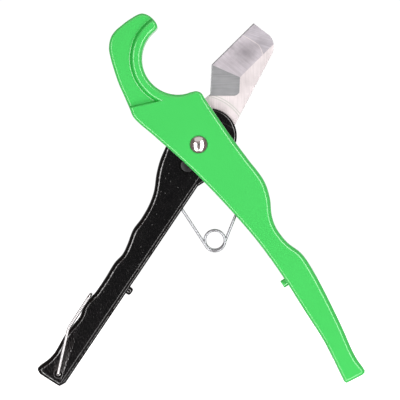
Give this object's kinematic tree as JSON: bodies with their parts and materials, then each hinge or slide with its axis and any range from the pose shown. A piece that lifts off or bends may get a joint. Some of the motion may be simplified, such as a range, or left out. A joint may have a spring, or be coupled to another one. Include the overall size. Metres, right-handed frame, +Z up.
{
  "type": "pipe cutter",
  "caption": "Hand shear for plastic pipe, shown open: hooked jaw body, blade handle on a pivot bolt, wire spring between the handles and a wire lock bail.",
  "frame": {"origin": "under the middle of the tool's box, at the level of the two handle ends that it stands on", "axes": "+Z up from the handle ends to the jaw, +X to the right seen from the front, +Y through the thickness to the nut side"},
  "size_m": [0.1912, 0.0262, 0.2172],
  "materials": {
    "green_paint": "satin green paint on a die casting",
    "black_paint": "glossy black paint on a die casting",
    "ground_steel": "ground and lightly brushed",
    "polished_steel": "mirror polished",
    "wire_steel": "bright drawn wire",
    "zinc_steel": "zinc plated",
    "dark_steel": "blackened steel",
    "nylon": "blue nylon"
  },
  "bodies": {
    "body": {"hook_body": "green_paint", "pivot_bolt": "polished_steel", "pivot_bush": "zinc_steel", "hub_shim_front": "zinc_steel", "hub_shim_back": "zinc_steel", "pivot_washer": "zinc_steel", "pivot_nut": "zinc_steel", "nut_insert": "nylon", "torsion_spring": "wire_steel"},
    "cutter": {"blade_handle": "black_paint", "blade": "ground_steel", "blade_screw": "dark_steel", "blade_nut": "dark_steel"},
    "bail": {"lock_bail": "wire_steel"}
  },
  "joints": [
    {"name": "handle_pivot", "type": "hinge", "parent": "body", "child": "cutter", "pos_m": [0.00035, -0.0025, 0.14007], "axis": [0, -1, 0], "range_deg": [0, 54], "stiffness_Nm_per_rad": 1.3, "springref_deg": -17.19, "deforming": ["torsion_spring"]},
    {"name": "bail_swing", "type": "hinge", "parent": "cutter", "child": "bail", "pos_m": [-0.08333, -0.0025, 0.00711], "axis": [0, -1, 0], "range_deg": [0, 303]}
  ]
}
